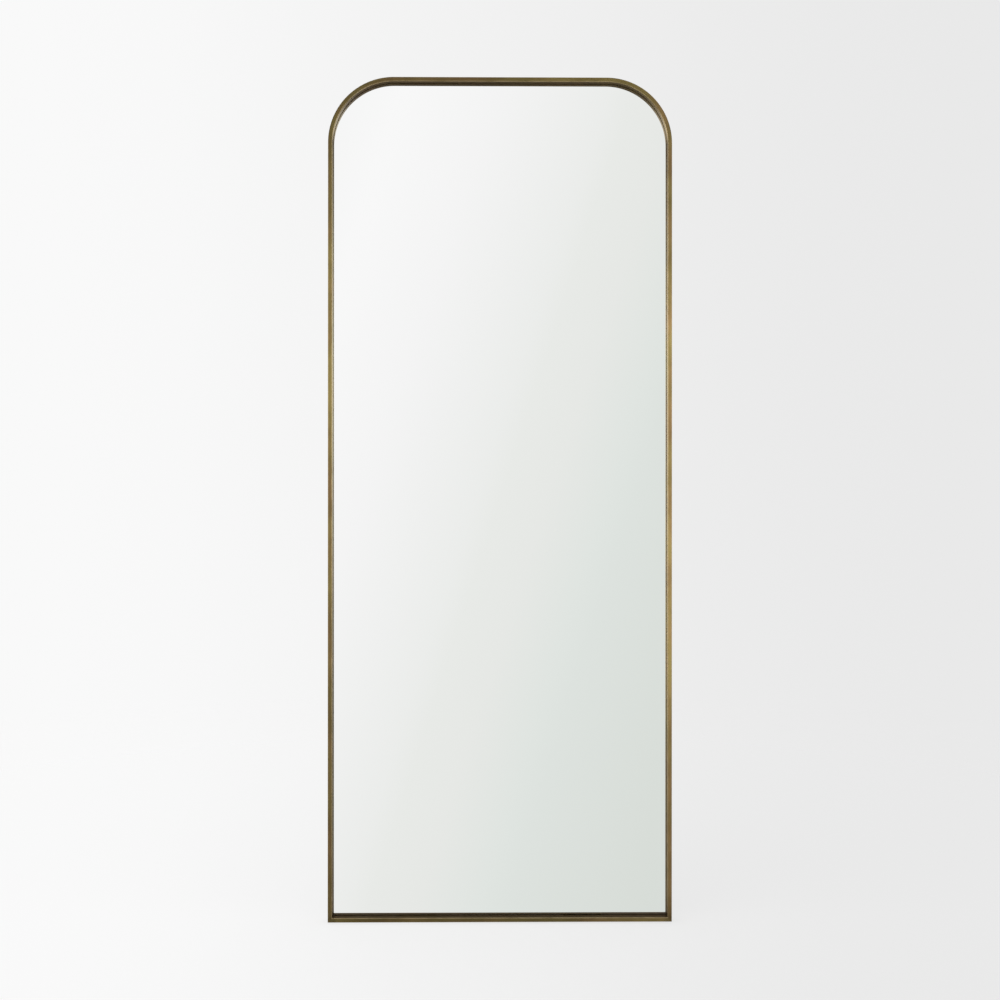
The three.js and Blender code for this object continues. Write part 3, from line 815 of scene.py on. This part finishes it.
def pan_screw():
    """A pan-head screw about +Y with a cross recess: its head bears on y = 0 and its shank runs to -Y."""
    sides = 48
    dome_rings = 6
    crowding = 1.6  # of the dome's rings towards its rim, where it is steepest
    innermost = 0.66 * HEAD_RADIUS
    profile = [(SHANK_RADIUS, -SHANK_LENGTH), (SHANK_RADIUS, 0.0), (HEAD_RADIUS - HEAD_CHAMFER, 0.0)]
    profile += [(HEAD_RADIUS, HEAD_CHAMFER), (HEAD_RADIUS, HEAD_RIM)]
    for step in range(1, dome_rings + 1):
        radius = HEAD_RADIUS + (innermost - HEAD_RADIUS) * (step / dome_rings) ** crowding
        profile.append((radius, dome(radius)))
    points = [(x, y, z) for radius, y in profile for x, z in circle(radius, sides=sides)]
    faces = [tuple(range(sides))]
    for ring in range(len(profile) - 1):
        faces += band((ring + 1) * sides, ring * sides, sides)
    half, slot = RECESS_SPAN / 2, RECESS_SLOT / 2
    arm = [(half, -slot), (half, slot), (slot, slot)]
    cross = [point for quarter in range(4) for point in turned_outline(arm, quarter * math.pi / 2, 0, 0)]
    mouth = len(points)
    floor = mouth + len(cross)
    points += [(x, dome(math.hypot(x, z)), z) for x, z in cross]
    points += [(x * RECESS_TAPER, HEAD_HEIGHT - RECESS_DEPTH, z * RECESS_TAPER) for x, z in cross]
    faces += filled(points, [range(mouth - sides, mouth), range(mouth, floor)[::-1]], facing_back=True)
    faces += band(floor, mouth, len(cross))
    faces += filled(points, [range(floor, len(points))], facing_back=True)
    return points, faces


def build_screw(node, turn, material):
    """A screw in its node's place, with its recess turned as the screwdriver left it."""
    low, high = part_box(node)
    points, faces = pan_screw()
    cosine, sine = math.cos(turn), math.sin(turn)
    x, z = (low.x + high.x) / 2, (low.z + high.z) / 2
    y = high.y - HEAD_HEIGHT
    placed = [(x + u * cosine - w * sine, y + v, z + u * sine + w * cosine) for u, v, w in points]
    stand_in(node, (placed, faces), material)


# Hangers


def rolled_barrel(width, radius, bore):
    """The strap's rolled end about the axis y = 0, z = 0, along x, from the board's side over the top."""
    steps = 40
    lip = math.acos((SEAM_GAP - bore) / radius)
    sweep = math.pi + lip
    ease = SHEET_ARRIS
    half = width / 2
    section = [
        (-half + ease, bore), (half - ease, bore), (half, bore + ease), (half, radius - ease),
        (half - ease, radius), (-half + ease, radius), (-half, radius - ease), (-half, bore + ease),
    ]
    points = []
    for step in range(steps + 1):
        angle = math.pi - sweep * step / steps
        for x, reach in section:
            points.append((x, reach * math.cos(angle), reach * math.sin(angle)))
    count = len(section)
    faces = [tuple(range(count)), tuple(reversed(range(len(points) - count, len(points))))]
    for ring in range(steps):
        faces += band((ring + 1) * count, ring * count, count)
    return points, faces


def build_strap(label, material):
    """A steel strap down the board, rolled over its ring at the top, with two screw holes."""
    node = "hanger_strap_" + label
    low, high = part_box(node)
    middle = (low.x + high.x) / 2
    radius = (high.y - low.y) / 2
    axis_z = high.z - radius
    holes = []
    for number in (1, 2):
        screw_low, screw_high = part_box(f"strap_screw_{label}_{number}")
        place = (screw_low + screw_high) / 2
        holes.append(circle(SCREW_HOLE_RADIUS, place.x, place.z, turn=-1))
    width = high.x - low.x
    outline = turned_outline(tongue(width, 0.0, axis_z - low.z, STRAP_CORNER), math.pi, middle, axis_z)
    flat = plate(outline, low.y, low.y + STRAP_THICKNESS, SHEET_ARRIS, holes)
    barrel = moved(rolled_barrel(width, radius, radius - STRAP_THICKNESS), (middle, low.y + radius, axis_z))
    stand_in(node, joined(flat, barrel), material)


def ring_route(half, drop, corner):
    """A D of wire in the plane y = 0: a bar along x at the top, two legs and a round bow."""
    corner_steps = 10
    bow_steps = 40
    points = [(SEAM_GAP / 2, 0, 0), (half - corner, 0, 0)]

    def arc(x, z, radius, first, last, steps):
        for step in range(1, steps + 1):
            angle = math.radians(first + (last - first) * step / steps)
            points.append((x + radius * math.cos(angle), 0, z + radius * math.sin(angle)))

    arc(half - corner, -corner, corner, 90, 0, corner_steps)
    points.append((half, 0, half - drop))
    arc(0, half - drop, half, 0, -180, bow_steps)
    points.append((-half, 0, -corner))
    arc(corner - half, -corner, corner, 180, 90, corner_steps)
    points.append((-SEAM_GAP / 2, 0, 0))
    return points


def build_ring(label, material):
    """A hanger ring, hung in its barrel, that rides on a body of its own."""
    node = "hanger_ring_" + label
    low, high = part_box(node)
    radius = (high.y - low.y) / 2
    half = (high.x - low.x) / 2 - radius
    drop = high.z - low.z - 2 * radius
    route = ring_route(half, drop, RING_CORNER)
    bent = wire(route, [radius] * len(route))
    place = ((low.x + high.x) / 2, (low.y + high.y) / 2, high.z - radius)
    stand_in(node, moved(bent, place), material, label + "_ring")


# Bumpers and foot pads


def build_bumper(node, material):
    """A round rubber foot with a soft tip, hollowed a little where it meets the wall."""
    low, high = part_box(node)
    height = high.y - low.y
    base = (high.x - low.x) / 2
    tip = base - BUMPER_TAPER
    steps = 8
    profile = [(0, 0), (base - BUMPER_CHAMFER, 0), (base, BUMPER_CHAMFER), (base, BUMPER_RIM)]
    for step in range(steps + 1):
        angle = step / steps * math.pi / 2
        radius = tip - BUMPER_ROUND + BUMPER_ROUND * math.cos(angle)
        profile.append((radius, height - BUMPER_ROUND + BUMPER_ROUND * math.sin(angle)))
    profile += [(radius, height - depth) for radius, depth in BUMPER_HOLLOW]
    place = ((low.x + high.x) / 2, low.y, (low.z + high.z) / 2)
    stand_in(node, moved(turned(profile), place), material)


def build_pad(node, material):
    """A flat rubber pad under the bottom rail. It is made as an upright sheet and laid down."""
    low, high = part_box(node)
    half_x, half_y = (high.x - low.x) / 2, (high.y - low.y) / 2
    thickness = high.z - low.z
    steps = 8
    outline = []
    for quarter, (side_x, side_y) in enumerate(((1, 1), (-1, 1), (-1, -1), (1, -1))):
        for step in range(steps + 1):
            angle = (quarter + step / steps) * math.pi / 2
            x = side_x * (half_x - PAD_CORNER) + PAD_CORNER * math.cos(angle)
            y = side_y * (half_y - PAD_CORNER) + PAD_CORNER * math.sin(angle)
            outline.append((x, y))
    points, faces = plate(outline, 0.0, thickness, PAD_ARRIS)
    laid = [(x, y, thickness - depth) for x, depth, y in points]
    place = ((low.x + high.x) / 2, (low.y + high.y) / 2, low.z)
    stand_in(node, moved((laid, faces), place), material)


# Floor, lamp and camera


def pale_floor():
    """The backdrop's own colour, which takes faint shadows and turns clear far from the mirror."""
    material = bpy.data.materials.new("pale_floor")
    material.use_nodes = True
    tree = material.node_tree
    tree.nodes.clear()
    place = object_place(tree)
    bearing = vector_calc(tree, "NORMALIZE", vector_calc(tree, "SUBTRACT", place, CAMERA_PLACE))
    paint = backdrop_colour(tree, add(tree, "ShaderNodeSeparateXYZ", {0: bearing}).outputs[0])
    path = add(tree, "ShaderNodeLightPath").outputs
    lit = add(tree, "ShaderNodeBsdfDiffuse", {"Color": paint}).outputs[0]
    shown = add(tree, "ShaderNodeEmission", {"Color": paint}).outputs[0]
    clear = add(tree, "ShaderNodeBsdfTransparent").outputs[0]
    seen = mixed_shaders(tree, FLOOR_LIT, shown, lit)
    by_ray = mixed_shaders(tree, path["Is Camera Ray"], lit, seen)
    away = mapped(tree, vector_calc(tree, "LENGTH", place), FADE_START, FADE_END)
    hidden = calc(tree, "MAXIMUM", away, path["Is Glossy Ray"])
    output = add(tree, "ShaderNodeOutputMaterial")
    tree.links.new(mixed_shaders(tree, hidden, by_ray, clear), output.inputs[0])
    return material


def build_floor():
    """A round floor under the mirror."""
    points = [(x, y, 0) for x, y in circle(FLOOR_RADIUS, sides=96)]
    mesh = bpy.data.meshes.new("floor")
    mesh.from_pydata(points, [], [tuple(range(len(points)))])
    mesh.materials.append(pale_floor())
    floor = bpy.data.objects.new("floor", mesh)
    bpy.context.scene.collection.objects.link(floor)


def build_lamp():
    """One soft lamp, high in front on the left."""
    lamp = bpy.data.lights.new("soft_lamp", "SUN")
    lamp.energy = LAMP_STRENGTH
    lamp.angle = LAMP_SPREAD
    holder = bpy.data.objects.new("soft_lamp", lamp)
    holder.rotation_euler = Vector(LAMP_DIRECTION).to_track_quat("Z", "Y").to_euler()
    bpy.context.scene.collection.objects.link(holder)


def build_camera():
    """A camera whose lens is shifted down and not tilted, so that upright lines stay parallel."""
    camera = bpy.data.cameras.new("camera")
    camera.sensor_width = SENSOR_WIDTH
    camera.lens = SENSOR_WIDTH * CAMERA_DISTANCE / PICTURE_WIDTH
    camera.shift_y = -CAMERA_RAISE / PICTURE_WIDTH
    holder = bpy.data.objects.new("camera", camera)
    holder.location = CAMERA_PLACE
    holder.rotation_euler = (math.pi / 2, -CAMERA_ROLL, -CAMERA_TURN)
    bpy.context.scene.collection.objects.link(holder)
    bpy.context.scene.camera = holder


build_camera()
build_world()
build_lamp()
build_floor()
bpy.context.scene.view_settings.view_transform = "Standard"

brass = aged_brass()
build_tube("frame_hoop", hoop_stations(), HOOP_PATINA, brass)
build_tube("bottom_rail", rail_stations(), RAIL_PATINA, brass)

build_arched("mirror_glass", GLASS_ARRIS, mirror_silver())
build_arched("backing_board", BOARD_ARRIS, painted_board())

rubber = plain_surface("black_rubber", (0.009, 0.009, 0.0095), (0.014, 0.014, 0.015), 700, (0.7, 0.85))
zinc = bright_zinc()
tab_brass = plain_surface("dull_brass", (0.15, 0.11, 0.045), (0.24, 0.18, 0.08), 200, (0.4, 0.5), 1.0)
black_zinc = plain_surface("black_zinc", (0.03, 0.03, 0.033), (0.05, 0.05, 0.055), 600, (0.3, 0.45), 1.0)

labels = [name.removeprefix("tab_screw_") for name in frame["nodes"] if name.startswith("tab_screw_")]
for number, label in enumerate(sorted(labels)):
    screw_low, screw_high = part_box("tab_screw_" + label)
    build_tab(label, (screw_low + screw_high) / 2, number, tab_brass)
    build_screw("tab_screw_" + label, TAB_SCREW_TURN * number, black_zinc)

for label in ("left", "right"):
    build_strap(label, zinc)
    build_ring(label, zinc)
    for number in (1, 2):
        turn = STRAP_SCREW_TURN * number + (LEFT_STRAP_TURN if label == "left" else 0.0)
        build_screw(f"strap_screw_{label}_{number}", turn, zinc)
    build_pad("foot_pad_" + label, rubber)
    for row in ("upper", "lower"):
        build_bumper(f"bumper_{row}_{label}", rubber)

finishes = {
    "safety_film": plain_surface("grey_film", (0.2, 0.21, 0.22), (0.25, 0.26, 0.27), 80, (0.5, 0.6)),
    "mounting_tape": plain_surface("foam_tape", (0.75, 0.74, 0.7), (0.82, 0.81, 0.78), 900, (0.8, 0.9)),
    "black_rubber": rubber,
}
for subpart in frame["record"]["subparts"]:
    if subpart["node"].startswith(("safety_film", "mounting_tape", "setting_block")):
        node = frame["nodes"][subpart["node"]]
        node.data.materials.clear()
        node.data.materials.append(finishes[subpart["material_slot"]])
